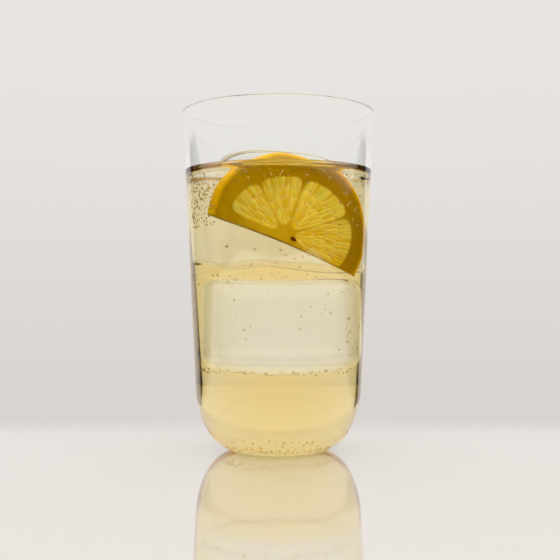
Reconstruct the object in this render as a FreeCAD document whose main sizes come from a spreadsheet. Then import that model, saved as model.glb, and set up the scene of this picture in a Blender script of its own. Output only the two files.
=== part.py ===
"""A highball served in its glass: a thin tumbler, the drink in it, and half a wheel of lemon.

The glass stands on the XY plane with its axis on Z. The viewer's side, which the lemon
leans towards, is -Y. All sizes are millimetres and degrees.
"""
import FreeCAD, Part
import math
import os
import Sketcher
from FreeCAD import Placement, Rotation, Vector

SIZES = {
    # the tumbler: a tapered wall over a rounded corner and a small flat foot
    "glass_height": 141.0,
    "rim_diameter": 80.0,
    "wall_taper": 2.7,  # degrees that the wall leans outwards
    "wall_thickness": 1.5,
    "foot_radius": 15.4,  # the flat that it stands on
    "hip_radius": 39.0,  # outer corner arc that runs into the wall
    "hip_step": 2.34,  # how far that arc carries the corner out past the arc at the heel
    "floor_thickness": 3.0,
    "inner_heel_radius": 14.0,
    # the drink: filled short of the rim, and climbing the wall a little
    "head_space": 26.4,
    "meniscus_rise": 2.0,
    "meniscus_radius": 2.6,
    # the lemon: an oval slice cut in half just past its core, leaning on the wall
    "slice_side_room": 8.3,  # from the inside of the rim to the slice's half width
    "slice_extra_height": 2.7,  # its half height past its half width
    "slice_thickness": 6.0,
    "rind_width": 7.0,  # peel and pith beside the flesh
    "core_radius": 2.2,
    "membrane_width": 1.2,
    "segment_corner": 3.6,
    "segment_depth": 0.5,  # how far the juicy flesh stands back from the pith
    "cut_drop": 2.7,  # the cut passes this far below the core
    "cut_slope": 23.5,  # degrees that the cut falls towards +X
    "cut_radius": 190.0,  # the cut's slight bow, highest at the core
    "slice_turn": 20.5,  # degrees about the upright
    "slice_lean": 5.8,  # degrees that its top leans to the viewer
    "slice_drop": 25.0,  # the core of its back face under the drink's level
    "slice_shift": 0.4,  # the same point's distance past the glass's axis
    "slice_clearance": 0.2,  # from its edge to the wall
    # the directions of its membranes from the core; the last lies past the cut
    "membrane_1": -38.0,
    "membrane_2": 19.9,
    "membrane_3": 73.7,
    "membrane_4": 117.0,
    "membrane_5": 156.5,
}

doc = FreeCAD.newDocument("glass_of_highball")


def fill_sheet(values):
    """Puts every driving size in a cell of its own, and names the cell."""
    sheet = doc.addObject("Spreadsheet::Sheet", "Sizes")
    for row, (name, value) in enumerate(values.items(), start=1):
        sheet.set(f"A{row}", name)
        sheet.set(f"B{row}", str(value))
        sheet.setAlias(f"B{row}", name)
    doc.recompute()
    return sheet


sheet = fill_sheet(SIZES)

# Sizes that follow from the driving ones, as expressions over the sheet.
LEVEL = "(Sizes.glass_height - Sizes.head_space)"
HALF_WIDTH = "(Sizes.rim_diameter / 2 - Sizes.wall_thickness - Sizes.slice_side_room)"
HALF_HEIGHT = f"({HALF_WIDTH} + Sizes.slice_extra_height)"
FLESH_RADIUS = f"({HALF_WIDTH} - Sizes.rind_width)"
# The outer heel arc fills what the foot and the hip's step leave under the wall's line.
TAPER = "(Sizes.wall_taper * 1 deg)"
HEEL_RADIUS = (
    f"(((Sizes.rim_diameter / 2 - Sizes.wall_thickness / 2 - Sizes.foot_radius) * cos{TAPER}"
    f" - (Sizes.glass_height - Sizes.wall_thickness / 2) * sin{TAPER}"
    f" + Sizes.wall_thickness / 2 - Sizes.hip_step) / (1 - sin{TAPER}))"
)


def size(name):
    """Reads a size back from its cell."""
    return float(getattr(sheet, name))


def worth(expression):
    """The number that an expression over the sheet comes to."""
    return float(sheet.evalExpression(expression))


def new_sketch(body, name, plane, offset=0.0):
    """Starts a sketch on one of the body's own planes, lifted along its normal."""
    sketch = body.newObject("Sketcher::SketchObject", name)
    sketch.AttachmentSupport = next(f for f in body.Origin.OriginFeatures if f.Role == plane)
    sketch.MapMode = "FlatFace"
    sketch.AttachmentOffset = Placement(Vector(0, 0, offset), Rotation())
    return sketch


def constrain(sketch, *constraint):
    """Adds a constraint that needs no size."""
    sketch.addConstraint(Sketcher.Constraint(*constraint))


def dimension(sketch, name, expression, *constraint):
    """Adds a named constraint whose value comes from the sheet."""
    index = sketch.addConstraint(Sketcher.Constraint(*constraint))
    sketch.renameConstraint(index, name)
    sketch.setExpression(f"Constraints.{name}", expression)


def arc(centre, radius, start, end):
    """An anticlockwise arc in a sketch, from one direction to another, in radians."""
    return Part.ArcOfCircle(Part.Circle(centre, Vector(0, 0, 1), radius), start, end)


def segment(start, end):
    return Part.LineSegment(start, end)


def polar(centre, radius, angle):
    return centre + Vector(radius * math.cos(angle), radius * math.sin(angle), 0)


# The tumbler's outline, shared by the glass and the drink. X is the radius and Y the height.
START, END, CENTRE = 1, 2, 3
ORIGIN, UPRIGHT = -1, -2


class Outline:
    """The wall line and the corner arcs at some depth under the outer surface."""

    def __init__(self, depth):
        taper = math.radians(size("wall_taper"))
        self.along = Vector(math.sin(taper), math.cos(taper), 0)
        self.outward = Vector(math.cos(taper), -math.sin(taper), 0)
        half_wall = size("wall_thickness") / 2
        self.lip_centre = Vector(size("rim_diameter") / 2 - half_wall, size("glass_height") - half_wall, 0)
        self.wall_point = self.lip_centre + self.outward * (half_wall - depth)
        heel_radius = worth(HEEL_RADIUS)
        self.heel_centre = Vector(size("foot_radius"), heel_radius, 0)
        self.heel_radius = heel_radius - depth
        self.hip_radius = size("hip_radius") - depth
        self.hip_centre = self.meet(self.heel_centre, size("hip_radius") - heel_radius)
        self.joint_angle = self.angle_to(self.heel_centre)
        self.wall_angle = -taper
        self.wall_start = polar(self.hip_centre, self.hip_radius, self.wall_angle)

    def meet(self, centre, reach):
        """The point a hip radius inside the wall, and the given reach from another centre."""
        base = self.wall_point - self.outward * self.hip_radius
        offset = base - centre
        run = offset.dot(self.along)
        return base + self.along * (math.sqrt(run**2 - offset.dot(offset) + reach**2) - run)

    def angle_to(self, centre):
        gap = centre - self.hip_centre
        return math.atan2(gap.y, gap.x)

    def wall_at(self, height):
        return self.wall_point + self.along * ((height - self.wall_point.y) / self.along.y)


def draw_outline(sketch, outline, depth, top):
    """Foot, heel arc, hip arc and wall up to a height: the first four lines of a sketch."""
    foot_height = float(outline.heel_centre.y - outline.heel_radius)
    foot_end = Vector(outline.heel_centre.x, foot_height, 0)
    sketch.addGeometry([
        segment(Vector(0, foot_height, 0), foot_end),
        arc(outline.heel_centre, outline.heel_radius, -math.pi / 2, outline.joint_angle),
        arc(outline.hip_centre, outline.hip_radius, outline.joint_angle, outline.wall_angle),
        segment(outline.wall_start, top),
    ])
    constrain(sketch, "Horizontal", 0)
    for lower, upper in ((0, 1), (1, 2), (2, 3)):
        constrain(sketch, "Tangent", lower, END, upper, START)
    dimension(sketch, "foot_radius", "Sizes.foot_radius", "DistanceX", 0, START, 0, END, size("foot_radius"))
    dimension(sketch, "heel_radius", f"{HEEL_RADIUS} - {depth}", "Radius", 1, outline.heel_radius)
    dimension(sketch, "hip_radius", f"Sizes.hip_radius - {depth}", "Radius", 2, outline.hip_radius)
    dimension(
        sketch, "wall_angle", "(90 - Sizes.wall_taper) * 1 deg", "Angle", 3, math.pi / 2 + outline.wall_angle
    )


def place_lip_centre(sketch, geometry, point, outline):
    """Holds a point at the middle of the wall under the rim."""
    dimension(
        sketch, "lip_x", "(Sizes.rim_diameter - Sizes.wall_thickness) / 2",
        "DistanceX", ORIGIN, START, geometry, point, outline.lip_centre.x,
    )
    dimension(
        sketch, "lip_y", "Sizes.glass_height - Sizes.wall_thickness / 2",
        "DistanceY", ORIGIN, START, geometry, point, outline.lip_centre.y,
    )


def revolve(body, sketch, name):
    turned = body.newObject("PartDesign::Revolution", name)
    turned.Profile = sketch
    turned.ReferenceAxis = (sketch, ["V_Axis"])
    turned.Angle = 360
    return turned


def make_glass():
    """The tumbler: one closed profile turned about Z, with a full round lip."""
    body = doc.addObject("PartDesign::Body", "glass")
    sketch = new_sketch(body, "glass_profile", "XZ_Plane")
    outer = Outline(0.0)
    inner = Outline(size("wall_thickness"))
    half_wall = size("wall_thickness") / 2
    draw_outline(sketch, outer, "0", outer.lip_centre + outer.outward * half_wall)

    heel = size("inner_heel_radius")
    floor = size("floor_thickness")
    rise = inner.hip_centre.y - floor - heel
    across = math.sqrt((inner.hip_radius - heel) ** 2 - rise**2)
    heel_centre = inner.hip_centre + Vector(across, -rise, 0)
    heel_angle = inner.angle_to(heel_centre)
    lip_angle = outer.wall_angle
    sketch.addGeometry([
        arc(outer.lip_centre, half_wall, lip_angle, lip_angle + math.pi),
        segment(outer.lip_centre - outer.outward * half_wall, inner.wall_start),
        arc(inner.hip_centre, inner.hip_radius, heel_angle, inner.wall_angle),
        arc(heel_centre, heel, -math.pi / 2, heel_angle),
        segment(Vector(heel_centre.x, floor, 0), Vector(0, floor, 0)),
        segment(Vector(0, floor, 0), Vector(0, 0, 0)),
    ])
    lip, wall, hip, inner_heel, floor_line, axis = range(4, 10)
    constrain(sketch, "Tangent", 3, END, lip, START)
    constrain(sketch, "Tangent", lip, END, wall, START)
    constrain(sketch, "Tangent", wall, END, hip, END)
    constrain(sketch, "Tangent", hip, START, inner_heel, END)
    constrain(sketch, "Tangent", inner_heel, START, floor_line, START)
    constrain(sketch, "Coincident", hip, CENTRE, 2, CENTRE)
    constrain(sketch, "Parallel", wall, 3)
    constrain(sketch, "Coincident", floor_line, END, axis, START)
    constrain(sketch, "Coincident", axis, END, 0, START)
    constrain(sketch, "Coincident", axis, END, ORIGIN, START)
    constrain(sketch, "Horizontal", floor_line)
    constrain(sketch, "Vertical", axis)
    place_lip_centre(sketch, lip, CENTRE, outer)
    dimension(sketch, "half_wall", "Sizes.wall_thickness / 2", "Radius", lip, half_wall)
    dimension(sketch, "inner_heel", "Sizes.inner_heel_radius", "Radius", inner_heel, heel)
    dimension(sketch, "floor", "Sizes.floor_thickness", "DistanceY", axis, END, axis, START, floor)
    revolve(body, sketch, "glass_turned")
    return body


def make_drink_plug():
    """The drink's level and meniscus over a plug that reaches to the middle of the wall.

    The glass is cut from it later, so the drink always meets the glass face to face.
    """
    body = doc.addObject("PartDesign::Body", "drink_plug")
    sketch = new_sketch(body, "drink_profile", "XZ_Plane")
    half_wall = size("wall_thickness") / 2
    middle = Outline(half_wall)
    level = worth(LEVEL)
    rise = size("meniscus_rise")
    curve = size("meniscus_radius")
    inner_wall_line = Outline(size("wall_thickness"))
    contact = inner_wall_line.wall_at(level + rise)
    swing = math.asin((rise - curve) / curve)
    curve_centre = Vector(contact.x - curve * math.cos(swing), level + curve, 0)
    shoulder = middle.wall_at(level + rise)
    draw_outline(sketch, middle, "Sizes.wall_thickness / 2", shoulder)
    sketch.addGeometry([
        segment(shoulder, contact),
        arc(curve_centre, curve, -math.pi / 2, swing),
        segment(Vector(curve_centre.x, level, 0), Vector(0, level, 0)),
        segment(Vector(0, level, 0), Vector(0, half_wall, 0)),
    ])
    step, meniscus, surface, axis = range(4, 8)
    sketch.addGeometry([
        segment(shoulder, middle.lip_centre),
        segment(contact, inner_wall_line.wall_at(middle.lip_centre.y)),
    ], True)
    mid_wall, inner_wall = 8, 9
    constrain(sketch, "Coincident", 3, END, step, START)
    constrain(sketch, "Coincident", step, END, meniscus, END)
    constrain(sketch, "Tangent", meniscus, START, surface, START)
    constrain(sketch, "Coincident", surface, END, axis, START)
    constrain(sketch, "Coincident", axis, END, 0, START)
    constrain(sketch, "Horizontal", step)
    constrain(sketch, "Horizontal", surface)
    constrain(sketch, "Vertical", axis)
    constrain(sketch, "PointOnObject", axis, END, UPRIGHT)
    constrain(sketch, "Coincident", mid_wall, START, 3, END)
    constrain(sketch, "Parallel", mid_wall, 3)
    constrain(sketch, "Coincident", inner_wall, START, step, END)
    constrain(sketch, "Parallel", inner_wall, 3)
    constrain(sketch, "Horizontal", inner_wall, END, mid_wall, END)
    place_lip_centre(sketch, mid_wall, END, middle)
    half = "Sizes.wall_thickness / 2"
    dimension(sketch, "inner_wall", half, "Distance", inner_wall, END, mid_wall, half_wall)
    dimension(sketch, "plug_floor", half, "DistanceY", ORIGIN, START, 0, START, half_wall)
    dimension(sketch, "level", LEVEL, "DistanceY", ORIGIN, START, surface, START, level)
    dimension(sketch, "rise", "Sizes.meniscus_rise", "DistanceY", meniscus, START, meniscus, END, rise)
    dimension(sketch, "meniscus_radius", "Sizes.meniscus_radius", "Radius", meniscus, curve)
    revolve(body, sketch, "drink_turned")
    return body


def segment_outline(low, high):
    """One segment of flesh between two membranes, as the lines and arcs of a closed wedge."""
    core_centre = Vector(0, 0, 0)
    half = size("membrane_width") / 2
    flesh = worth(FLESH_RADIUS)
    corner = size("segment_corner")
    core = size("core_radius")
    quarter = math.pi / 2

    def beside(angle, side, run, stand_off):
        return polar(polar(core_centre, run, angle), stand_off * side, angle + quarter)

    tip_turn = math.asin(half / core)
    tip_run = core * math.cos(tip_turn)
    corner_turn = math.asin((half + corner) / (flesh - corner))
    corner_run = (flesh - corner) * math.cos(corner_turn)
    low_corner = beside(low, 1, corner_run, half + corner)
    high_corner = beside(high, -1, corner_run, half + corner)
    return [
        segment(beside(low, 1, tip_run, half), beside(low, 1, corner_run, half)),
        arc(low_corner, corner, low - quarter, low + corner_turn),
        arc(core_centre, flesh, low + corner_turn, high - corner_turn),
        arc(high_corner, corner, high - corner_turn, high + quarter),
        segment(beside(high, -1, corner_run, half), beside(high, -1, tip_run, half)),
        arc(core_centre, core, low + tip_turn, high - tip_turn),
    ]


def tie_segment(sketch, first, low_membrane, high_membrane):
    """Ties a segment's six pieces end to end, and its sides to the membranes beside them."""
    side, low_corner, rim, high_corner, far_side, tip = range(first, first + 6)
    for before, after in ((side, low_corner), (low_corner, rim), (rim, high_corner), (high_corner, far_side)):
        constrain(sketch, "Tangent", before, END, after, START)
    constrain(sketch, "Coincident", far_side, END, tip, END)
    constrain(sketch, "Coincident", tip, START, side, START)
    for name, expression, curve in (("flesh", FLESH_RADIUS, rim), ("core", "Sizes.core_radius", tip)):
        constrain(sketch, "Coincident", curve, CENTRE, ORIGIN, START)
        dimension(sketch, f"{name}_radius_{first}", expression, "Radius", curve, worth(expression))
    for curve in (low_corner, high_corner):
        dimension(sketch, f"corner_{curve}", "Sizes.segment_corner", "Radius", curve, size("segment_corner"))
    for line, membrane in ((side, low_membrane), (far_side, high_membrane)):
        constrain(sketch, "Parallel", line, membrane)
        dimension(
            sketch, f"stand_off_{line}", "Sizes.membrane_width / 2",
            "Distance", line, START, membrane, size("membrane_width") / 2,
        )


def recess_segments(body, name, height, inwards):
    """Sets the flesh of one face back from its pith and membranes."""
    sketch = new_sketch(body, f"{name}_segments", "XY_Plane")
    sketch.setExpression("AttachmentOffset.Base.z", height)
    membranes = [f"membrane_{number}" for number in range(1, 6)]
    angles = [math.radians(size(membrane)) for membrane in membranes]
    flesh = worth(FLESH_RADIUS)
    for number, (membrane, angle) in enumerate(zip(membranes, angles)):
        sketch.addGeometry(segment(Vector(0, 0, 0), polar(Vector(0, 0, 0), flesh, angle)), True)
        constrain(sketch, "Coincident", number, START, ORIGIN, START)
        dimension(sketch, membrane, f"Sizes.{membrane} * 1 deg", "Angle", number, angle)
        dimension(sketch, f"reach_{number}", FLESH_RADIUS, "Distance", number, flesh)
    for number, (low, high) in enumerate(zip(angles, angles[1:])):
        first = sketch.GeometryCount
        sketch.addGeometry(segment_outline(low, high))
        tie_segment(sketch, first, number, number + 1)
    recess = body.newObject("PartDesign::Pocket", f"{name}_flesh")
    recess.Profile = sketch
    recess.Reversed = inwards
    recess.setExpression("Length", "Sizes.segment_depth")


def make_slice():
    """Half a wheel of lemon: an oval disc, halved by a slightly bowed cut."""
    body = doc.addObject("PartDesign::Body", "lemon_slice")
    outline = new_sketch(body, "slice_outline", "XY_Plane")
    tall = worth(HALF_HEIGHT)
    wide = worth(HALF_WIDTH)
    outline.addGeometry(Part.Ellipse(Vector(0, tall, 0), Vector(wide, 0, 0), Vector(0, 0, 0)))
    outline.exposeInternalGeometry(0)
    long_axis, short_axis = 1, 2
    constrain(outline, "Coincident", 0, CENTRE, ORIGIN, START)
    constrain(outline, "Vertical", long_axis)
    dimension(outline, "height", f"2 * {HALF_HEIGHT}", "Distance", long_axis, 2 * tall)
    dimension(outline, "width", f"2 * {HALF_WIDTH}", "Distance", short_axis, 2 * wide)
    wheel = body.newObject("PartDesign::Pad", "slice_wheel")
    wheel.Profile = outline
    wheel.setExpression("Length", "Sizes.slice_thickness")

    cut = new_sketch(body, "cut_line", "XY_Plane")
    down = -math.pi / 2 - math.radians(size("cut_slope"))
    bow = size("cut_radius")
    bow_depth = bow + size("cut_drop")
    bow_centre = polar(Vector(0, 0, 0), bow_depth, down)
    swing = math.asin(1.3 * tall / bow)
    left, right = (polar(bow_centre, bow, down + math.pi + turn) for turn in (swing, -swing))
    depth = polar(Vector(0, 0, 0), 2 * tall, down)
    cut.addGeometry([
        arc(bow_centre, bow, down + math.pi - swing, down + math.pi + swing),
        segment(left, left + depth),
        segment(left + depth, right + depth),
        segment(right + depth, right),
    ])
    cut.addGeometry(segment(Vector(0, 0, 0), bow_centre), True)
    middle_line = 4
    for before, after in ((0, 1), (1, 2), (2, 3)):
        constrain(cut, "Coincident", before, END, after, START)
    constrain(cut, "Coincident", 3, END, 0, START)
    constrain(cut, "Coincident", middle_line, START, ORIGIN, START)
    constrain(cut, "Coincident", middle_line, END, 0, CENTRE)
    for edge in (1, 3):
        constrain(cut, "Parallel", edge, middle_line)
    constrain(cut, "Symmetric", 2, START, 2, END, middle_line)
    dimension(cut, "bow", "Sizes.cut_radius", "Radius", 0, bow)
    dimension(cut, "bow_depth", "Sizes.cut_radius + Sizes.cut_drop", "Distance", middle_line, bow_depth)
    dimension(cut, "slope", "-(90 + Sizes.cut_slope) * 1 deg", "Angle", middle_line, down)
    dimension(cut, "reach", f"2.6 * {HALF_HEIGHT}", "Distance", 2, 2.6 * tall)
    dimension(cut, "depth", f"2 * {HALF_HEIGHT}", "Distance", 1, 2 * tall)
    halved = body.newObject("PartDesign::Pocket", "slice_halved")
    halved.Profile = cut
    halved.Reversed = True
    halved.Type = "ThroughAll"

    recess_segments(body, "front", "Sizes.slice_thickness", False)
    recess_segments(body, "back", "0", True)
    return body


def seat_slice(body):
    """Turns and leans the slice, and slides it to the viewer until its edge is near the wall."""
    turn = Rotation(Vector(0, 0, 1), size("slice_turn"))
    lean = Rotation(Vector(1, 0, 0), 90 + size("slice_lean"))
    core = Vector(size("slice_shift"), 0, worth(LEVEL) - size("slice_drop"))
    body.Placement = Placement(core, turn.multiply(lean))
    doc.recompute()
    wall = Outline(size("wall_thickness") + size("slice_clearance"))
    slides = []
    for edge in body.Shape.Edges:
        for point in edge.discretize(60):
            slides.append(point.y + math.sqrt(wall.wall_at(point.z).x ** 2 - point.x**2))
    core.y = -min(slides)
    body.Placement = Placement(core, body.Placement.Rotation)


def cut_from(name, base, tool):
    result = doc.addObject("Part::Cut", name)
    result.Base = base
    result.Tool = tool
    return result


glass = make_glass()
plug = make_drink_plug()
lemon = make_slice()
seat_slice(lemon)
drink = cut_from("drink", cut_from("drink_in_glass", plug, glass), lemon)
doc.recompute()

for item in doc.Objects:
    if {"Invalid", "Error"} & set(item.State):
        raise RuntimeError(f"{item.Name} failed: {item.State}")

os.makedirs("parts", exist_ok=True)
for piece in (glass, drink, lemon):
    shape = piece.Shape
    if shape.isNull() or not shape.isValid() or len(shape.Solids) != 1:
        raise RuntimeError(f"{piece.Label} isn't one valid solid")
    shape.exportStep(f"parts/{piece.Label}.step")
    print(f"{piece.Label}: {shape.Volume / 1000:.1f} cm3")
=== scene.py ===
"""A highball in its tumbler: the looks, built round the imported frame. Runs in Blender 4.5.

Meshes and nodes are in metres, in the frame's own axes: +Z up the tumbler, the lemon facing -Y.
Sizes are written in millimetres, and turned to metres where a mesh or a node takes them.
"""
import math

import bpy
import numpy as np
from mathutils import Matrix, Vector


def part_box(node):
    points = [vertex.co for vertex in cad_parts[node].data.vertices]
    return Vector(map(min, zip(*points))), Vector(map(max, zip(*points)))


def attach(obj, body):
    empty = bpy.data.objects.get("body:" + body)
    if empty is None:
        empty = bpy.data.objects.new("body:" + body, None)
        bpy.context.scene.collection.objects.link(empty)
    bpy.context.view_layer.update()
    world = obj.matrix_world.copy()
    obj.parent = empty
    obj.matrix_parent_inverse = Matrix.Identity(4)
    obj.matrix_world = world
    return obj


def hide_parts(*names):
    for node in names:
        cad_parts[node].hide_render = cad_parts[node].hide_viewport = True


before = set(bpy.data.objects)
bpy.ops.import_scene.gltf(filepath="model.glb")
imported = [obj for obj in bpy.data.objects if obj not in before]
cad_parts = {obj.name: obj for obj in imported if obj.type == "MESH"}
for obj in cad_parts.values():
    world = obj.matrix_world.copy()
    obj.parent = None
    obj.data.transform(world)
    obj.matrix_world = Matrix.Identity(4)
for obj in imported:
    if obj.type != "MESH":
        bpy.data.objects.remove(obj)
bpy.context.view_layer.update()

# ---- Camera -------------------------------------------------------------------------------
# A long lens held level with the middle of the tumbler, 37 cm from its axis. The glass, drink
# and ice stand one inside another, so light may be bent many times on its way to the lens.
MM = 0.001
CAMERA_PLACE = (0.7, -372, 70.9)
FOCAL_LENGTH = 56.96
NEAREST = 10
BENDS, MIRRORINGS = 64, 12

scene = bpy.context.scene
camera = bpy.data.objects.new("camera", bpy.data.cameras.new("camera"))
scene.collection.objects.link(camera)
camera.location = Vector(CAMERA_PLACE) * MM
camera.rotation_euler = (math.radians(90), 0, 0)
camera.data.lens = FOCAL_LENGTH
camera.data.clip_start = NEAREST * MM
scene.camera = camera
scene.view_settings.view_transform = "Standard"
scene.cycles.max_bounces = BENDS
scene.cycles.transmission_bounces = BENDS
scene.cycles.glossy_bounces = MIRRORINGS

# ---- Room ---------------------------------------------------------------------------------
# A studio with a pale wall that lightens upwards. Its sides are dark up to a little over eye
# level. They are never seen straight: the glass mirrors and bends them into its dark edges.
WALL_LOW, WALL_HIGH = -0.5, 0.5
WALL_SHADES = [
    (0.300, "#e5e2dd"), (0.348, "#d9d4d0"), (0.385, "#d9d4d0"), (0.500, "#dedad7"),
    (0.650, "#e6e2df"), (0.800, "#e9e5e2"),
]
DARK = "#140d06"
# the dark sides start at these turns, in radians to the right of straight ahead, and run on
# round to behind the camera; the edge of the right one leans outwards as it climbs
RIGHT_START, RIGHT_END, RIGHT_BLUR = math.radians(42), 3.0, math.radians(1)
LEFT_START, LEFT_END, LEFT_BLUR = math.radians(-44), -4.0, math.radians(2)
RIGHT_LEAN = 0.7
# a height is the upward part of a direction, so 0 is level; to the side and behind the camera
# the dark stops lower, because the taper of the glass tilts down what its front mirrors
DARK_LOW, DARK_HIGH, DARK_BLUR = -0.9, 0.12, 0.010
LOWER_FROM, LOWER_TO, LOWER_BY = math.radians(60), math.radians(80), 0.078
# the strength of what shows in and through the glass, high up and low down, and of the light
# that falls through the glass on what stands in the drink, which has no other light
SEEN_HIGH, SEEN_LOW = 1.04, 1.14
LIGHT_INSIDE = 3.4
# a Mix node's two colours, and where the mixed one comes out
MIX_A, MIX_B, MIXED = 6, 7, 2


def colour(hexadecimal):
    """The linear colour of an sRGB hex value, with an alpha of 1."""
    channels = [int(hexadecimal[i:i + 2], 16) / 255 for i in (1, 3, 5)]
    linear = [c / 12.92 if c <= 0.04045 else ((c + 0.055) / 1.055) ** 2.4 for c in channels]
    return (*linear, 1.0)


def add(tree, kind, inputs=None, stops=(), **settings):
    """Adds a node with its settings, its inputs as values or linked sockets, and ramp stops."""
    node = tree.nodes.new(kind)
    for name, value in settings.items():
        setattr(node, name, value)
    for name, value in (inputs or {}).items():
        if isinstance(value, bpy.types.NodeSocket):
            tree.links.new(value, node.inputs[name])
        else:
            node.inputs[name].default_value = value
    for _ in stops[2:]:
        node.color_ramp.elements.new(0.5)
    for index, (position, shade) in enumerate(stops):
        node.color_ramp.elements[index].position = position
        node.color_ramp.elements[index].color = colour(shade)
    return node


def between(tree, value, low, high, blur):
    """1 where the value lies between low and high, fading over blur to each side of both."""
    rise = add(tree, "ShaderNodeMapRange", {
        "Value": value, "From Min": low - blur, "From Max": low + blur,
    }, interpolation_type="SMOOTHSTEP").outputs[0]
    fall = add(tree, "ShaderNodeMapRange", {
        "Value": value, "From Min": high + blur, "From Max": high - blur,
    }, interpolation_type="SMOOTHSTEP").outputs[0]
    return add(tree, "ShaderNodeMath", {0: rise, 1: fall}, operation="MULTIPLY").outputs[0]


world = bpy.data.worlds.new("room")
scene.world = world
world.use_nodes = True
room = world.node_tree
room.nodes.clear()
direction = add(room, "ShaderNodeTexCoord").outputs["Generated"]
axes = add(room, "ShaderNodeSeparateXYZ", {"Vector": direction}).outputs
height = add(room, "ShaderNodeMapRange", {
    "Value": axes["Z"], "From Min": WALL_LOW, "From Max": WALL_HIGH,
}).outputs[0]
wall = add(room, "ShaderNodeValToRGB", {"Fac": height}, stops=WALL_SHADES).outputs["Color"]
turn = add(room, "ShaderNodeMath", {0: axes["X"], 1: axes["Y"]}, operation="ARCTAN2").outputs[0]
edge = add(room, "ShaderNodeMath", {
    0: axes["Z"], 1: RIGHT_LEAN, 2: RIGHT_START,
}, operation="MULTIPLY_ADD").outputs[0]
past_edge = add(room, "ShaderNodeMath", {0: turn, 1: edge}, operation="SUBTRACT").outputs[0]
right_side = between(room, past_edge, 0.0, RIGHT_END, RIGHT_BLUR)
left_side = between(room, turn, LEFT_END, LEFT_START, LEFT_BLUR)
aside = add(room, "ShaderNodeMath", {0: turn}, operation="ABSOLUTE").outputs[0]
lower = add(room, "ShaderNodeMapRange", {
    "Value": aside, "From Min": LOWER_FROM, "From Max": LOWER_TO, "To Min": 0.0, "To Max": LOWER_BY,
}).outputs[0]
lifted = add(room, "ShaderNodeMath", {0: axes["Z"], 1: lower}, operation="ADD").outputs[0]
low_down = between(room, lifted, DARK_LOW, DARK_HIGH, DARK_BLUR)
sides = add(
    room, "ShaderNodeMath", {0: right_side, 1: left_side}, operation="MAXIMUM",
).outputs[0]
darkness = add(room, "ShaderNodeMath", {0: sides, 1: low_down}, operation="MULTIPLY").outputs[0]
dark_room = add(room, "ShaderNodeMix", {
    "Factor": darkness, MIX_A: wall, MIX_B: colour(DARK),
}, data_type="RGBA").outputs[MIXED]

path = add(room, "ShaderNodeLightPath").outputs
bent = add(room, "ShaderNodeMath", {
    0: path["Is Glossy Ray"], 1: path["Is Transmission Ray"],
}, operation="MAXIMUM").outputs[0]
# 1 for what glass, ice, drink or table mirrors or bends straight to the eye, and 0 for the light
# on a dull surface, which is white
to_eye = add(room, "ShaderNodeMath", {
    0: bent, 1: path["Diffuse Depth"],
}, operation="GREATER_THAN").outputs[0]
lit = add(room, "ShaderNodeMix", {
    "Factor": to_eye, MIX_A: colour("#ffffff"), MIX_B: dark_room,
}, data_type="RGBA").outputs[MIXED]
seen = add(room, "ShaderNodeMix", {
    "Factor": path["Is Camera Ray"], MIX_A: lit, MIX_B: wall,
}, data_type="RGBA").outputs[MIXED]
fallen_through = add(room, "ShaderNodeMath", {
    0: path["Is Transmission Ray"], 1: path["Diffuse Depth"],
}, operation="MULTIPLY").outputs[0]
light = add(room, "ShaderNodeMapRange", {
    "Value": fallen_through, "To Min": 1.0, "To Max": LIGHT_INSIDE,
}).outputs[0]
shown = add(room, "ShaderNodeMapRange", {
    "Value": low_down, "To Min": SEEN_HIGH, "To Max": SEEN_LOW,
}).outputs[0]
strength = add(room, "ShaderNodeMix", {
    "Factor": to_eye, "A": light, "B": shown,
}, data_type="FLOAT").outputs[0]
strength = add(room, "ShaderNodeMix", {
    "Factor": path["Is Camera Ray"], "A": strength, "B": 1.0,
}, data_type="FLOAT").outputs[0]
background = add(room, "ShaderNodeBackground", {"Color": seen, "Strength": strength})
add(room, "ShaderNodeOutputWorld", {"Surface": background.outputs[0]})

# ---- Table --------------------------------------------------------------------------------
# A glossy white laminate top that the tumbler stands on and is mirrored in. Behind the tumbler
# it fades into the room, so that no far edge shows.
FLOOR_GAP = 0.03
FADE_START, FADE_END = 20, 80
TABLE_REACH = 1200


def new_material(name):
    """An empty node material, its tree and its output node."""
    made = bpy.data.materials.new(name)
    made.use_nodes = True
    made.node_tree.nodes.clear()
    return made, made.node_tree, add(made.node_tree, "ShaderNodeOutputMaterial")


def new_piece(name, vertices, faces, material, smooth=True):
    """A mesh object at the origin."""
    mesh = bpy.data.meshes.new(name)
    mesh.from_pydata([tuple(v) for v in vertices], [], faces)
    mesh.polygons.foreach_set("use_smooth", [smooth] * len(mesh.polygons))
    mesh.materials.append(material)
    mesh.validate()
    piece = bpy.data.objects.new(name, mesh)
    scene.collection.objects.link(piece)
    return piece


laminate, tree, output = new_material("glossy_white_laminate")
# white paper under a clear hard melamine face, pressed mirror-smooth; it is partly metallic
# only so that it mirrors what stands on it more strongly than plain laminate would
spot = add(tree, "ShaderNodeTexCoord").outputs["Object"]
back = add(tree, "ShaderNodeSeparateXYZ", {"Vector": spot}).outputs["Y"]
fade = add(tree, "ShaderNodeMapRange", {
    "Value": back, "From Min": FADE_START * MM, "From Max": FADE_END * MM,
}, interpolation_type="SMOOTHSTEP").outputs[0]
sheet = add(tree, "ShaderNodeBsdfPrincipled", {
    "Base Color": colour("#f4f1ec"), "Metallic": 0.55, "Roughness": 0.05, "IOR": 1.5,
})
clear = add(tree, "ShaderNodeBsdfTransparent")
mixed = add(tree, "ShaderNodeMixShader", {0: fade, 1: sheet.outputs[0], 2: clear.outputs[0]})
tree.links.new(mixed.outputs[0], output.inputs["Surface"])
signs = [(-1, -1), (1, -1), (1, 1), (-1, 1)]
table_corners = np.array([(x * TABLE_REACH, y * TABLE_REACH, -FLOOR_GAP) for x, y in signs])
floor = new_piece("table", table_corners * MM, [(0, 1, 2, 3)], laminate, smooth=False)

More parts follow.
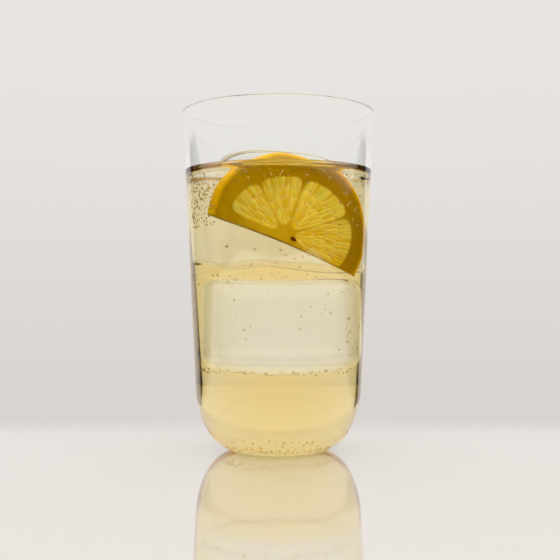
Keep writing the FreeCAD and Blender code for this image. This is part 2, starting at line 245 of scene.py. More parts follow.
# ---- Tumbler ------------------------------------------------------------------------------
# Thin machine-blown soda-lime glass: a tapered wall over a rounded heel and a small flat foot,
# its rim fire-polished to a full round. It is turned from one profile.
glass_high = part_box("glass")[1]
RIM_RADIUS = glass_high.x / MM
HEIGHT = glass_high.z / MM
TAPER = math.radians(2.7)
WALL = 1.5
FOOT_RADIUS = 15.4
HIP_RADIUS = 39.0
HIP_STEP = 2.34
FLOOR = 3.0
INNER_HEEL = 14.0
SIDES = 192
FOOT_STEPS, FLOOR_STEPS, HEEL_STEPS, LIP_STEPS = 6, 8, 20, 16
CURVE_STEPS, WALL_STEPS = 24, 30
TINY = 1e-6

# the heel's arc leaves the foot level and stays HIP_STEP inside the line of the wall, and the
# hip's arc joins the two with no corner
along = np.array([math.sin(TAPER), math.cos(TAPER)])
outward = np.array([math.cos(TAPER), -math.sin(TAPER)])
lip_centre = np.array([RIM_RADIUS - WALL / 2, HEIGHT - WALL / 2])
heel_radius = (
    (RIM_RADIUS - WALL / 2 - FOOT_RADIUS) * math.cos(TAPER) - (HEIGHT - WALL / 2) * math.sin(TAPER)
    + WALL / 2 - HIP_STEP
) / (1 - math.sin(TAPER))
heel_centre = np.array([FOOT_RADIUS, heel_radius])
hip_base = lip_centre + outward * (WALL / 2 - HIP_RADIUS)
hip_offset = hip_base - heel_centre
hip_run = hip_offset @ along
hip_reach = HIP_RADIUS - heel_radius
hip_climb = math.sqrt(hip_run**2 - hip_offset @ hip_offset + hip_reach**2) - hip_run
hip_centre = hip_base + along * hip_climb


def wall_at(depth, height):
    """The radius of the wall, at a depth under its outer face and a height."""
    point = lip_centre + outward * (WALL / 2 - depth)
    return point[0] + (height - point[1]) * math.tan(TAPER)


def arc(centre, radius, start, end, steps):
    """Profile points (radius, height, normal) along an arc, between two angles in radians."""
    points = []
    for angle in np.linspace(start, end, steps + 1):
        way = np.array([math.cos(angle), math.sin(angle)])
        points.append((*(centre + radius * way), *way))
    return points


def line(start, end, normal, steps):
    """Profile points along a straight line, all with one normal."""
    return [(*(start + (end - start) * step), *normal) for step in np.linspace(0, 1, steps + 1)]


def inside_profile(reach, top):
    """The inside of the tumbler from its middle up to a height, sunk into the glass by reach."""
    rise = hip_centre[1] - FLOOR - INNER_HEEL
    across = math.sqrt((HIP_RADIUS - WALL - INNER_HEEL) ** 2 - rise**2)
    inner_heel = hip_centre + np.array([across, -rise])
    joint = math.atan2(-rise, across)
    floor_height = FLOOR - reach
    wall_depth = WALL - reach
    floor_middle = np.array([0.0, floor_height])
    floor_edge = np.array([inner_heel[0], floor_height])
    hip_end = hip_centre + outward * (HIP_RADIUS - wall_depth)
    wall_end = np.array([wall_at(wall_depth, top), top])
    return (
        line(floor_middle, floor_edge, (0, -1), FLOOR_STEPS)
        + arc(inner_heel, INNER_HEEL + reach, -math.pi / 2, joint, CURVE_STEPS)[1:]
        + arc(hip_centre, HIP_RADIUS - wall_depth, joint, -TAPER, CURVE_STEPS)[1:]
        + line(hip_end, wall_end, outward, CURVE_STEPS)[1:]
    )


def outside_profile():
    """The outside of the tumbler, from the middle of its foot up and round the top of its lip."""
    joint = math.atan2(*(heel_centre - hip_centre)[::-1])
    hip_end = hip_centre + outward * HIP_RADIUS
    return (
        line(np.array([0.0, 0.0]), np.array([FOOT_RADIUS, 0.0]), (0, -1), FOOT_STEPS)
        + arc(heel_centre, heel_radius, -math.pi / 2, joint, HEEL_STEPS)[1:]
        + arc(hip_centre, HIP_RADIUS, joint, -TAPER, CURVE_STEPS)[1:]
        + line(hip_end, lip_centre + outward * WALL / 2, outward, WALL_STEPS)[1:]
        + arc(lip_centre, WALL / 2, -TAPER, math.pi - TAPER, LIP_STEPS)[1:]
    )


ANGLES = np.linspace(0, 2 * math.pi, SIDES, endpoint=False)
ROUND = np.column_stack([np.cos(ANGLES), np.sin(ANGLES)])


def turned(profile):
    """Rings of points and of normals for a profile of (radius, height, normal) turned about Z."""
    rings, normals = [], []
    for radius, level, across, up in profile:
        if radius < TINY:
            rings.append(np.array([[0, 0, level]]))
            normals.append(np.array([[0, 0, up]]))
        else:
            rings.append(np.column_stack([ROUND * radius, np.full(SIDES, level)]))
            normals.append(np.column_stack([ROUND * across, np.full(SIDES, up)]))
    return rings, normals


def joined(rings, first=0):
    """Faces between rings of points, or of one point at a pole. They face out if the rings climb."""
    faces = []
    starts = first + np.cumsum([0] + [len(ring) for ring in rings])
    sides = max(len(ring) for ring in rings)
    for low, high, a, b in zip(rings, rings[1:], starts, starts[1:]):
        for i in range(sides):
            j = (i + 1) % sides
            if len(low) == 1:
                faces.append((int(a), int(b + j), int(b + i)))
            elif len(high) == 1:
                faces.append((int(a + i), int(a + j), int(b)))
            else:
                faces.append((int(a + i), int(a + j), int(b + j), int(b + i)))
    return faces


def set_normals(piece, exact):
    """Gives the first vertices their exact normals, and leaves the others as they are."""
    normals = np.empty(len(piece.data.vertices) * 3, np.float32)
    piece.data.vertex_normals.foreach_get("vector", normals)
    normals = normals.reshape(-1, 3)
    normals[:len(exact)] = exact
    piece.data.normals_split_custom_set_from_vertices([tuple(n) for n in normals])


soda_glass, tree, output = new_material("blown_soda_lime_glass")
# clear and colourless, so it shows by what it bends at its edges; its index is 1.52
shader = add(tree, "ShaderNodeBsdfPrincipled", {
    "Base Color": colour("#fdfefd"), "Roughness": 0.0, "IOR": 1.52, "Transmission Weight": 1.0,
})
tree.links.new(shader.outputs[0], output.inputs["Surface"])

inside_top = lip_centre[1] + WALL / 2 * math.sin(TAPER)
inside = [(r, z, -a, -u) for r, z, a, u in reversed(inside_profile(0.0, inside_top))]
rings, normals = turned(outside_profile() + inside[1:])
tumbler = new_piece("tumbler", np.vstack(rings) * MM, joined(rings), soda_glass)
set_normals(tumbler, np.vstack(normals))
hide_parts("glass")
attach(tumbler, "root")

# ---- Ice ----------------------------------------------------------------------------------
# Two large blocks of clear ice, half melted: their edges are round and their faces bowed. The
# upper one floats out of the drink, and the lower one is held down under it.
drink_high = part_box("drink")[1]
CONTACT = drink_high.z / MM
MENISCUS_RISE = 2.0
LEVEL = CONTACT - MENISCUS_RISE
ICE_MENISCUS = 1.2
ICE_FILM = 0.1
BROAD_MELT, FINE_MELT = 0.012, 0.008
EDGE_STEPS = 36
FINE_STEPS = 4001
# the rings over an edge start close together, where the side begins to round off
FIRST_STATIONS = [0, 0.001, 0.004, 0.01]

# top and bottom give the height of a block's faces over u and v, which run from -1 to 1 across
# and along it. The waist is its widest level, a higher corner or edge is squarer, and melt
# shifts the low waves that melting left round its sides
upper_block = {
    "x": -0.5, "y": 9.4, "waist": LEVEL + ICE_MENISCUS, "yaw": 18, "width": 53.0, "depth": 34.0,
    "corner": 3.0, "melt": 1.0, "edge_top": 2.9, "edge_bottom": 10.0,
    "top": lambda u, v: 126.3 - 0.8 * u - 0.4 * (u * u + v * v),
    "bottom": lambda u, v: 79.8 - 5.0 * (u + 0.1) ** 2 - 4.5 * v * v,
}
lower_block = {
    "x": 0.9, "y": 0.0, "waist": 54.0, "yaw": 0, "width": 49.0, "depth": 51.0,
    "corner": 2.15, "melt": 2.3, "edge_top": 9.0, "edge_bottom": 8.0,
    "top": lambda u, v: 69.6 + 3.6 * u * u + 3.0 * v * v,
    "bottom": lambda u, v: 32.6 + 0.9 * u * u + 0.8 * v * v,
}


def superellipse(power, steps):
    """(across, up) pairs evenly along a quarter superellipse, from its side to its top."""
    share = np.linspace(0, 1, FINE_STEPS)
    angles = math.pi / 2 * share**4 / (share**4 + (1 - share) ** 4)
    across = np.maximum(np.cos(angles), 0) ** (2 / power)
    up = np.sin(angles) ** (2 / power)
    run = np.concatenate([[0], np.cumsum(np.hypot(np.diff(across), np.diff(up)))])
    run /= run[-1]
    stations = np.concatenate([FIRST_STATIONS, np.linspace(0.02, 1, steps)])
    across, up = np.interp(stations, run, across), np.interp(stations, run, up)
    across[-1] = 0.0
    return zip(across, up)


def ice_rings(block, inset, part):
    """Rings from the waist of a block to the middle of its top or bottom face."""
    yaw = math.radians(block["yaw"])
    corner = 2 / block["corner"]
    cosine, sine = np.cos(ANGLES), np.sin(ANGLES)
    across = (block["width"] / 2 - inset) * np.sign(cosine) * np.abs(cosine) ** corner
    deep = (block["depth"] / 2 - inset) * np.sign(sine) * np.abs(sine) ** corner
    outline = np.column_stack([
        across * math.cos(yaw) - deep * math.sin(yaw),
        across * math.sin(yaw) + deep * math.cos(yaw),
    ])
    melted = 1 + BROAD_MELT * np.sin(2 * ANGLES + block["melt"])
    melted += FINE_MELT * np.sin(5 * ANGLES + 2 * block["melt"])
    outline *= melted[:, None]
    rings = []
    for scale, climb in superellipse(block["edge_" + part], EDGE_STEPS):
        x, y = (outline * scale).T
        face = block[part](x / block["width"] * 2, y / block["depth"] * 2)
        end = face - (inset if part == "top" else -inset)
        z = block["waist"] + climb * (end - block["waist"])
        points = np.column_stack([x + block["x"], y + block["y"], z])
        rings.append(points if scale > 0 else points[:1])
    return rings


clear_ice, tree, output = new_material("clear_ice")
# still, layer-frozen ice with hardly a bubble in it; wet, so it is as smooth as glass
shader = add(tree, "ShaderNodeBsdfPrincipled", {
    "Base Color": colour("#fcfdfd"), "Roughness": 0.0, "IOR": 1.31, "Transmission Weight": 1.0,
})
tree.links.new(shader.outputs[0], output.inputs["Surface"])
for name, block in (("ice_upper", upper_block), ("ice_lower", lower_block)):
    rings = ice_rings(block, 0.0, "bottom")[:0:-1] + ice_rings(block, 0.0, "top")
    ice = new_piece(name, np.vstack(rings) * MM, joined(rings), clear_ice)
    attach(ice, "root")

# ---- Drink --------------------------------------------------------------------------------
# Pale yellow sparkling liquid, filled round the ice. It wets the glass a little way into the
# wall, so that no air lies between them, and climbs the glass and the ice in a small curve.
SKIN = 0.15
MENISCUS_RADIUS = 4.2
MENISCUS_STEPS = 14
ICE_CLIMB_WIDTH = 0.9
# the surface is drawn in rings from the glass to the ice, closer together where it climbs
SURFACE_SHARES = [*np.linspace(0, 0.8, 9)[1:], 0.86, 0.91, 0.94, 0.965, 0.98, 0.99]
DENSITY = 19.0


def meniscus_rings():
    """From the wet line on the glass inwards, down to the level."""
    contact = wall_at(WALL, CONTACT)
    swing = math.asin((MENISCUS_RISE - MENISCUS_RADIUS) / MENISCUS_RADIUS)
    centre = np.array([contact - MENISCUS_RADIUS * math.cos(swing), LEVEL + MENISCUS_RADIUS])
    return arc(centre, MENISCUS_RADIUS, swing, -math.pi / 2, MENISCUS_STEPS)


skin_rings, skin_normals = turned(inside_profile(SKIN, CONTACT))
edge_rings = turned(meniscus_rings())[0]
hole = ice_rings(upper_block, ICE_FILM, "bottom")
level_ring = edge_rings[-1]
surface_rings = []
for share in SURFACE_SHARES:
    ring = level_ring + (hole[0] - level_ring) * share
    gap = np.linalg.norm((hole[0] - ring)[:, :2], axis=1)
    ring[:, 2] = LEVEL + ICE_MENISCUS * np.exp(-gap / ICE_CLIMB_WIDTH)
    surface_rings.append(ring)
rings = skin_rings + edge_rings + surface_rings + hole
vertices, faces = np.vstack(rings), joined(rings)
pocket = ice_rings(lower_block, ICE_FILM, "top")[:0:-1] + ice_rings(lower_block, ICE_FILM, "bottom")
faces += joined(pocket, len(vertices))
vertices = np.vstack([vertices, *pocket])

yellow_drink, tree, output = new_material("pale_yellow_sparkling_drink")
# a thin water-like liquid; what it takes from the light grows with the depth of it
shader = add(tree, "ShaderNodeBsdfPrincipled", {
    "Base Color": colour("#ffffff"), "Roughness": 0.0, "IOR": 1.34, "Transmission Weight": 1.0,
})
tint = add(tree, "ShaderNodeVolumeAbsorption", {"Color": colour("#ffe727"), "Density": DENSITY})
tree.links.new(shader.outputs[0], output.inputs["Surface"])
tree.links.new(tint.outputs[0], output.inputs["Volume"])
drink = new_piece("drink_liquid", vertices * MM, faces, yellow_drink)
set_normals(drink, np.vstack(skin_normals))
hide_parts("drink")
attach(drink, "root")

# ---- Lemon --------------------------------------------------------------------------------
# Half a wheel of lemon, cut 6 mm thick: oily peel, thick pith, and four segments of juicy
# flesh between membranes that meet at the core. It stands on edge between the glass and ice.
lemon_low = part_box("lemon_slice")[0]
SLICE_THICKNESS = 6.0
HALF_WIDTH, HALF_HEIGHT = 30.2, 32.9
PEEL_BUMPS = [(3, 0.6, 0.010), (7, 1.9, 0.006), (16, 0.0, 0.003)]
# the slice is turned about Z and leans forward with the wall; its core is this far to the right
# of the axis and this far under the level
SLICE_TURN = math.radians(20.5)
SLICE_LEAN = math.radians(5.8)
SLICE_SHIFT = 0.4
SLICE_DROP = 25.0
# the knife's cut is a very shallow bow that faces down, and passes this far under the core
CUT_DOWN = math.radians(-90 - 23.5)
CUT_DROP = 2.7
CUT_RADIUS = 190.0
CUT_CORNER, PEEL_CORNER = 0.35, 1.1
FLESH_RADIUS = 23.2
FLESH_WAVE = 0.5
CORE_RADIUS = 2.2
HEART_START, HEART_END = 14.0, 22.0
MEMBRANE_WIDTH = 1.2
MEMBRANES = [math.radians(angle) for angle in (-38.0, 19.9, 73.7, 117.0, 156.5)]
SEGMENT_CORNER, CORNER_BACK = 1.5, 0.75
FLESH_EDGE = 0.8
# the juice sacs stand in rows that reach into one another
SAC_LENGTH, SAC_WIDTH = 6.5, 1.35
SAC_WALL = 0.30
FIRST_ROW = 4.5
ROW_STEP = SAC_LENGTH * 0.62
SAC_STRAY, ROW_STRAY = 0.28, 1.1
# the flesh sinks between the membranes, its sacs swell in it, and the pith is slightly uneven
FLESH_SUNK, SAC_SWELL, SAC_UNEVEN = 0.55, 0.42, 0.12
PITH_UNEVEN = 0.05
EDGE_SHARE = 0.05
ROUND_STEPS = 480
FACE_STEPS = 76
# the slopes, in degrees, at which rings go over the edge; up to FLAT_SLOPE they cross its flat
FLAT_SLOPE = 5
EDGE_SLOPES = [*np.linspace(-90, -5, 6)[1:], -3, 0, 3, *np.linspace(5, 90, 6)[:-1]]
# limits that keep the formulas for the flesh in range
SIDE_LIMIT, WALL_LIMIT = 1.5, 20
FAR = 99.0
rng = np.random.default_rng(7)


def smooth_step(value, low, high):
    """0 under low, 1 over high, and a smooth rise between them."""
    share = np.clip((value - low) / (high - low), 0, 1)
    return share * share * (3 - 2 * share)


def heart_at(radius):
    """1 near the core, where what isn't flesh is membrane, and 0 out in the pith."""
    return 1 - smooth_step(radius, HEART_START, HEART_END)


def reach_of(theta):
    """How far the slice reaches from its core in each direction: to the peel or to the cut."""
    peel = 1 / np.sqrt((np.cos(theta) / HALF_WIDTH) ** 2 + (np.sin(theta) / HALF_HEIGHT) ** 2)
    peel *= sum((size * np.sin(count * theta + start) for count, start, size in PEEL_BUMPS), 1)
    bow = CUT_RADIUS + CUT_DROP
    facing = bow * np.cos(theta - CUT_DOWN)
    inner = facing**2 - bow**2 + CUT_RADIUS**2
    cut = np.where((facing > 0) & (inner > 0), facing - np.sqrt(np.maximum(inner, 0)), np.inf)
    return np.minimum(peel, cut), peel, cut < peel


def beside(radius, angle):
    """How far a point lies to one side of a line from the core, at an angle from it."""
    return radius * np.sin(np.clip(angle, -SIDE_LIMIT, SIDE_LIMIT))


def sac_places():
    """The angle, the radius and the tone of each juice sac, in rows that fan out from the core."""
    places = []
    for low, high in zip(MEMBRANES, MEMBRANES[1:]):
        for radius in np.arange(FIRST_ROW, FLESH_RADIUS + 1, ROW_STEP):
            count = max(1, round(radius * (high - low) / SAC_WIDTH))
            for number in range(count):
                step = number + 0.5 + SAC_STRAY * rng.uniform(-1, 1)
                angle = low + (high - low) * step / count
                places.append((angle, radius + rng.uniform(-ROW_STRAY, ROW_STRAY), rng.uniform()))
    return places


def flesh_field(u, w):
    """For points on the slice: the share of flesh, how deep in a sac, and the sac's own tone."""
    radius, theta = np.hypot(u, w), np.arctan2(w, u)
    depth = np.full(len(u), -FAR)
    for low, high in zip(MEMBRANES, MEMBRANES[1:]):
        walls = [
            beside(radius, theta - low) - MEMBRANE_WIDTH / 2,
            beside(radius, high - theta) - MEMBRANE_WIDTH / 2,
            FLESH_RADIUS + FLESH_WAVE * np.sin(2.3 * theta + 1) - radius,
            radius - CORE_RADIUS,
        ]
        near = sum(np.exp(-np.clip(wall, -WALL_LIMIT, WALL_LIMIT) / SEGMENT_CORNER) for wall in walls)
        depth = np.maximum(depth, -SEGMENT_CORNER * np.log(near) + CORNER_BACK)
    nearest = np.full((2, len(u)), FAR)
    tone = np.zeros(len(u))
    for angle, row, shade in sac_places():
        sideways = beside(radius, theta - angle) / SAC_WIDTH
        away = np.hypot(sideways, (radius - row) / SAC_LENGTH)
        closer = away < nearest[0]
        nearest[1] = np.where(closer, nearest[0], np.minimum(nearest[1], away))
        nearest[0] = np.where(closer, away, nearest[0])
        tone = np.where(closer, shade, tone)
    inside_sac = smooth_step(nearest[1] - nearest[0], 0.0, SAC_WALL)
    return smooth_step(depth, 0.0, FLESH_EDGE), inside_sac, tone


def slice_face(theta, reach, peel, corner):
    """Points, from the core to the edge, of one face of the slice, with its fields."""
    shares = np.linspace(0, 1, FACE_STEPS + 1)[1:]
    u = np.outer(shares, (reach - corner) * np.cos(theta)).ravel()
    w = np.outer(shares, (reach - corner) * np.sin(theta)).ravel()
    flesh, inside_sac, tone = flesh_field(u, w)
    # four sizes are drawn, and the three waves take the first three
    sizes = PITH_UNEVEN * rng.standard_normal(4)
    waves = [np.sin(u / 5 + 1), np.cos(w / 6), np.sin((u + w) / 4)]
    uneven = sum(size * wave for size, wave in zip(sizes, waves))
    rise = flesh * (-FLESH_SUNK + SAC_SWELL * inside_sac + SAC_UNEVEN * tone) + uneven * (1 - flesh)
    rise *= smooth_step(np.repeat(1 - shares, len(theta)), 0.0, EDGE_SHARE)
    fields = {
        "flesh": flesh, "sac_edge": 1 - inside_sac, "tone": tone,
        "to_peel": np.tile(peel, FACE_STEPS) - np.hypot(u, w), "heart": heart_at(np.hypot(u, w)),
    }
    return u, w, rise, fields


theta = np.linspace(-math.pi, math.pi, ROUND_STEPS, endpoint=False)
reach, peel, is_cut = reach_of(theta)
corner = np.where(is_cut, CUT_CORNER, PEEL_CORNER)
half_slice = SLICE_THICKNESS / 2
blocks, fields = [], {"flesh": [], "sac_edge": [], "tone": [], "to_peel": [], "heart": []}
middle = {"flesh": [0.0], "sac_edge": [0.0], "tone": [0.0], "to_peel": [HALF_WIDTH], "heart": [1.0]}


def add_ring(u, w, n, values):
    """Adds a ring of points across u, up w and out n from the core, with its fields."""
    blocks.append(np.column_stack([u, w, n]))
    for name, found in values.items():
        fields[name].append(found)


def add_face(side, order):
    """Adds the rings of the back face (side -1) or the front one (side 1), in an order."""
    u, w, rise, found = slice_face(theta, reach, peel, corner)
    for ring in order:
        part = slice(ring * ROUND_STEPS, (ring + 1) * ROUND_STEPS)
        values = {name: field[part] for name, field in found.items()}
        add_ring(u[part], w[part], side * (half_slice + rise[part]), values)


add_ring([0], [0], [-half_slice], middle)
add_face(-1, range(FACE_STEPS))
flesh, inside_sac, tone = flesh_field(reach * np.cos(theta), reach * np.sin(theta))
for degrees in EDGE_SLOPES:
    slope = math.radians(degrees)
    out = reach - corner + corner * math.cos(slope)
    flat = (half_slice - corner) * np.clip(degrees / FLAT_SLOPE, -1, 1)
    add_ring(out * np.cos(theta), out * np.sin(theta), flat + corner * math.sin(slope), {
        "flesh": flesh, "sac_edge": 1 - inside_sac, "tone": tone,
        "to_peel": peel - out, "heart": heart_at(out),
    })
add_face(1, reversed(range(FACE_STEPS)))
add_ring([0], [0], [half_slice], middle)

across = np.array([math.cos(SLICE_TURN), math.sin(SLICE_TURN), 0])
up = np.array([
    math.sin(SLICE_TURN) * math.sin(SLICE_LEAN), -math.cos(SLICE_TURN) * math.sin(SLICE_LEAN),
    math.cos(SLICE_LEAN),
])
facing = np.cross(across, up)
slice_axes = np.array([across, up, facing])
core = np.array([SLICE_SHIFT, 0.0, LEVEL - SLICE_DROP]) + facing * half_slice
points = np.vstack(blocks) @ slice_axes + core
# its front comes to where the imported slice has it
to_front = lemon_low.y / MM - points[:, 1].min()
points[:, 1] += to_front

# how far in from the edge the pith ends and the peel is whole
PITH_ENDS, PEEL_WHOLE = 2.2, 0.4
# the wet grain of the cut and the clouds in its pith, as patches to a millimetre
GRAIN, CLOUDS = 0.7, 0.12
GRAIN_DEPTH = 0.2
# the pith is painted darker from the left of the slice to the right, as the shade that the ice on its
# right throws on it, over this stretch of x
ICE_SHADE_LEFT, ICE_SHADE_RIGHT = -26, 30
STREAK = 0.45

lemon_flesh, tree, output = new_material("wet_cut_lemon")
# juice-filled flesh is bright gold, with paler walls to its sacs; the pith is soaked, and is painted
# duller for the shade it stands in with the light behind it, and darker on the right with painted
# shade from the ice; the peel is a clear orange-yellow. Under the drink it hardly shines, so its index
# is 1.08, which is that of wet flesh over that of the drink
masks = {name: add(tree, "ShaderNodeAttribute", attribute_name=name).outputs["Fac"] for name in fields}
spot = add(tree, "ShaderNodeTexCoord").outputs["Object"]
grain = add(tree, "ShaderNodeTexNoise", {
    "Vector": spot, "Scale": GRAIN / MM, "Detail": 3.0,
}).outputs["Fac"]
clouds = add(tree, "ShaderNodeTexNoise", {
    "Vector": spot, "Scale": CLOUDS / MM, "Detail": 2.0,
}).outputs["Fac"]
across_slice = add(tree, "ShaderNodeSeparateXYZ", {"Vector": spot}).outputs["X"]
painted_ice_shade = add(tree, "ShaderNodeMapRange", {
    "Value": across_slice, "From Min": ICE_SHADE_LEFT * MM, "From Max": ICE_SHADE_RIGHT * MM,
}).outputs[0]
rim = add(tree, "ShaderNodeMapRange", {
    "Value": masks["to_peel"], "From Min": PITH_ENDS, "From Max": PEEL_WHOLE,
}, interpolation_type="SMOOTHSTEP").outputs[0]
streak = add(
    tree, "ShaderNodeMath", {0: masks["sac_edge"], 1: STREAK}, operation="MULTIPLY",
).outputs[0]
pith, juice = colour("#e4b600"), colour("#ecc61c")
# the first mix paints shade over the right of the pith, where the ice shades it; the others are
# blotches, the peel and the membranes' meeting
for share, shade in (
    (painted_ice_shade, "#ae8200"), (clouds, "#ba9000"), (rim, "#e8b200"), (masks["heart"], "#d6b018"),
):
    pith = add(tree, "ShaderNodeMix", {
        "Factor": share, MIX_A: pith, MIX_B: colour(shade),
    }, data_type="RGBA").outputs[MIXED]
for share, shade in ((masks["tone"], "#ffea66"), (streak, "#ffe79a")):
    juice = add(tree, "ShaderNodeMix", {
        "Factor": share, MIX_A: juice, MIX_B: colour(shade),
    }, data_type="RGBA").outputs[MIXED]
cut = add(tree, "ShaderNodeMix", {
    "Factor": masks["flesh"], MIX_A: pith, MIX_B: juice,
}, data_type="RGBA").outputs[MIXED]
bump = add(tree, "ShaderNodeBump", {
    "Height": grain, "Strength": 0.25, "Distance": GRAIN_DEPTH * MM,
}).outputs[0]
shader = add(tree, "ShaderNodeBsdfPrincipled", {
    "Base Color": cut, "Roughness": 0.4, "IOR": 1.08, "Normal": bump,
    "Subsurface Weight": 0.35, "Subsurface Radius": (1.0, 0.6, 0.15), "Subsurface Scale": 2 * MM,
})
tree.links.new(shader.outputs[0], output.inputs["Surface"])
lemon = new_piece("lemon_half_wheel", points * MM, joined(blocks), lemon_flesh)
for name, found in fields.items():
    layer = lemon.data.attributes.new(name, "FLOAT", "POINT")
    layer.data.foreach_set("value", np.concatenate(found).astype(np.float32))
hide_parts("lemon_slice")
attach(lemon, "root")

# ---- Seed ---------------------------------------------------------------------------------
# One lemon seed that the knife left in the slice: a small brown drop, narrower at one end, set
# in the face of the flesh by the core.
SEED_LENGTH, SEED_WIDTH = 2.6, 1.5
SEED_TURN = math.radians(-38)
# across, up and out from the core of the slice
SEED_PLACE = [2.9, -1.6, half_slice + 0.05]
SEED_BULGE = 0.35
SEED_SIDES, SEED_STEPS = 24, 14
MOTTLE = 0.9

brown_husk, tree, output = new_material("brown_lemon_seed")
# a woody husk, wet and dark, and mottled: MOTTLE is its spots to a millimetre
spot = add(tree, "ShaderNodeTexCoord").outputs["Object"]
mottle = add(tree, "ShaderNodeTexNoise", {
    "Vector": spot, "Scale": MOTTLE / MM, "Detail": 2.0,
}).outputs["Fac"]
husk = add(
    tree, "ShaderNodeValToRGB", {"Fac": mottle}, stops=[(0.35, "#5a2c08"), (0.65, "#8a4a0c")],
).outputs["Color"]
shader = add(tree, "ShaderNodeBsdfPrincipled", {"Base Color": husk, "Roughness": 0.4, "IOR": 1.2})
tree.links.new(shader.outputs[0], output.inputs["Surface"])
around = np.linspace(0, 2 * math.pi, SEED_SIDES, endpoint=False)
seed_rings = []
for slope in np.linspace(0, math.pi, SEED_STEPS + 1):
    spread = SEED_WIDTH / 2 * math.sin(slope) * (1 + SEED_BULGE * math.cos(slope))
    along_seed = -SEED_LENGTH / 2 * math.cos(slope)
    if spread < TINY:
        seed_rings.append(np.array([[along_seed, 0.0, 0.0]]))
    else:
        seed_rings.append(np.column_stack([
            np.full(SEED_SIDES, along_seed), spread * np.cos(around), spread * np.sin(around),
        ]))
lie = np.array([
    [math.cos(SEED_TURN), math.sin(SEED_TURN), 0], [-math.sin(SEED_TURN), math.cos(SEED_TURN), 0],
    [0, 0, 1],
])
seed_points = (np.vstack(seed_rings) @ lie + SEED_PLACE) @ slice_axes + core
seed_points[:, 1] += to_front
seed = new_piece("lemon_seed", seed_points * MM, joined(seed_rings), brown_husk)
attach(seed, "root")

# ---- Bubbles ------------------------------------------------------------------------------
# Gas coming out of the drink: beads that cling inside the wall and round the floor of the
# tumbler, scattered over the bands where they gather, at random sizes.
SMALLEST, LARGEST = 0.22, 0.62
FEW_LARGE = 2.5
BUBBLE_SEED = 11
BEAD_SIDES, BEAD_RINGS = 8, 6
FRONT = -math.pi / 2
BAND_STEPS = 12
# each band: from and to in degrees round from the front, low and high, how far it lies off the
# wall, and its beads to a square millimetre
BANDS = [
    (-72, -42, 92, 111, 0.8, 0.55), (-45, 20, 106, 113, 0.8, 0.06), (40, 66, 88, 112, 0.8, 0.12),
    (-70, 70, 42, 74, 0.8, 0.016), (-66, 66, 34.2, 36.0, 0.9, 0.9), (50, 75, 38, 60, 0.8, 0.06),
    (-80, 80, 3.7, 5.2, 0.9, 0.9), (-45, 45, 5.2, 9.0, 0.9, 0.10), (-80, 70, 110, 113.4, 0.8, 0.16),
    (-35, 42, 70, 84, 0.8, 0.05),
]

# the inside radius over the floor, where the heel narrows the tumbler
above_floor = inside_profile(0.0, LEVEL)[FLOOR_STEPS + 1:]
heel_levels, heel_radii = [p[1] for p in above_floor], [p[0] for p in above_floor]
corners, faces, densities = [], [], []
for start, end, low, high, inset, density in BANDS:
    first = len(corners)
    for turned_by in np.linspace(start, end, BAND_STEPS + 1):
        angle = FRONT + math.radians(turned_by)
        for z in (low, high):
            radius = min(wall_at(WALL, z), float(np.interp(z, heel_levels, heel_radii))) - inset
            corners.append((radius * math.cos(angle), radius * math.sin(angle), z))
    for a in range(first, first + 2 * BAND_STEPS, 2):
        faces.append((a, a + 2, a + 3, a + 1))
        densities.append(density)

bead, tree, output = new_material("carbon_dioxide_bubble")
# gas inside the liquid bends light the other way round: its index is 1 over that of the drink
gas = add(tree, "ShaderNodeBsdfGlass", {"Color": colour("#fefae8"), "Roughness": 0.0, "IOR": 0.746})
tree.links.new(gas.outputs[0], output.inputs["Surface"])
bubbles = new_piece("bubbles", np.array(corners) * MM, faces, bead)
layer = bubbles.data.attributes.new("density", "FLOAT", "FACE")
layer.data.foreach_set("value", np.array(densities, np.float32) / MM**2)

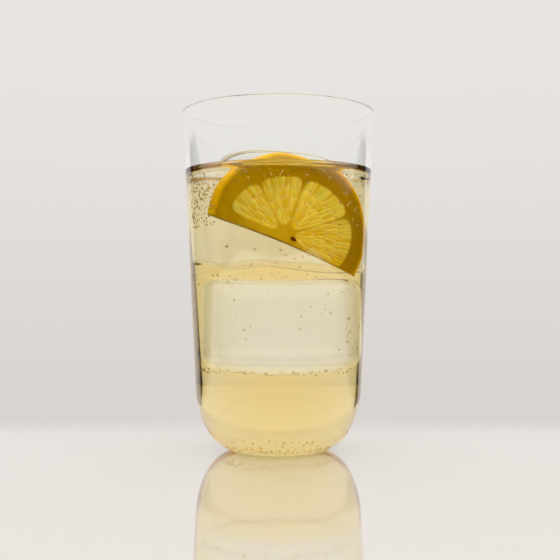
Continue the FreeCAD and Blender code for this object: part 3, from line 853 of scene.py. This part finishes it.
scatter = bpy.data.node_groups.new("scatter_bubbles", "GeometryNodeTree")
scatter.interface.new_socket("Geometry", in_out="OUTPUT", socket_type="NodeSocketGeometry")
named = {}
for name, kind in (
    ("Geometry", "NodeSocketGeometry"), ("Smallest", "NodeSocketFloat"),
    ("Largest", "NodeSocketFloat"), ("Few large", "NodeSocketFloat"), ("Seed", "NodeSocketInt"),
    ("Gas", "NodeSocketMaterial"),
):
    socket = scatter.interface.new_socket(name, in_out="INPUT", socket_type=kind)
    named[name] = socket.identifier
group = add(scatter, "NodeGroupInput").outputs
density = add(
    scatter, "GeometryNodeInputNamedAttribute", {"Name": "density"}, data_type="FLOAT",
).outputs["Attribute"]
beads = add(scatter, "GeometryNodeDistributePointsOnFaces", {
    "Mesh": group["Geometry"], "Density": density, "Seed": group["Seed"],
}).outputs["Points"]
ball = add(scatter, "GeometryNodeMeshUVSphere", {
    "Segments": BEAD_SIDES, "Rings": BEAD_RINGS, "Radius": 1.0,
}).outputs["Mesh"]
ball = add(scatter, "GeometryNodeSetShadeSmooth", {"Geometry": ball}).outputs[0]
# a random float comes out of output 1, and its power makes large beads rare
size = add(
    scatter, "FunctionNodeRandomValue", {"Seed": group["Seed"]}, data_type="FLOAT",
).outputs[1]
size = add(
    scatter, "ShaderNodeMath", {0: size, 1: group["Few large"]}, operation="POWER",
).outputs[0]
size = add(scatter, "ShaderNodeMapRange", {
    "Value": size, "To Min": group["Smallest"], "To Max": group["Largest"],
}).outputs[0]
placed = add(scatter, "GeometryNodeInstanceOnPoints", {
    "Points": beads, "Instance": ball, "Scale": size,
}).outputs[0]
real = add(scatter, "GeometryNodeRealizeInstances", {"Geometry": placed}).outputs[0]
real = add(scatter, "GeometryNodeSetMaterial", {"Geometry": real, "Material": group["Gas"]})
add(scatter, "NodeGroupOutput", {"Geometry": real.outputs[0]})
modifier = bubbles.modifiers.new("scatter", "NODES")
modifier.node_group = scatter
modifier[named["Smallest"]] = SMALLEST * MM
modifier[named["Largest"]] = LARGEST * MM
modifier[named["Few large"]] = FEW_LARGE
modifier[named["Seed"]] = BUBBLE_SEED
modifier[named["Gas"]] = bead
bpy.context.view_layer.update()
depsgraph = bpy.context.evaluated_depsgraph_get()
mesh = bpy.data.meshes.new_from_object(bubbles.evaluated_get(depsgraph))
bubbles.modifiers.remove(modifier)
bubbles.data = mesh
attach(bubbles, "root")
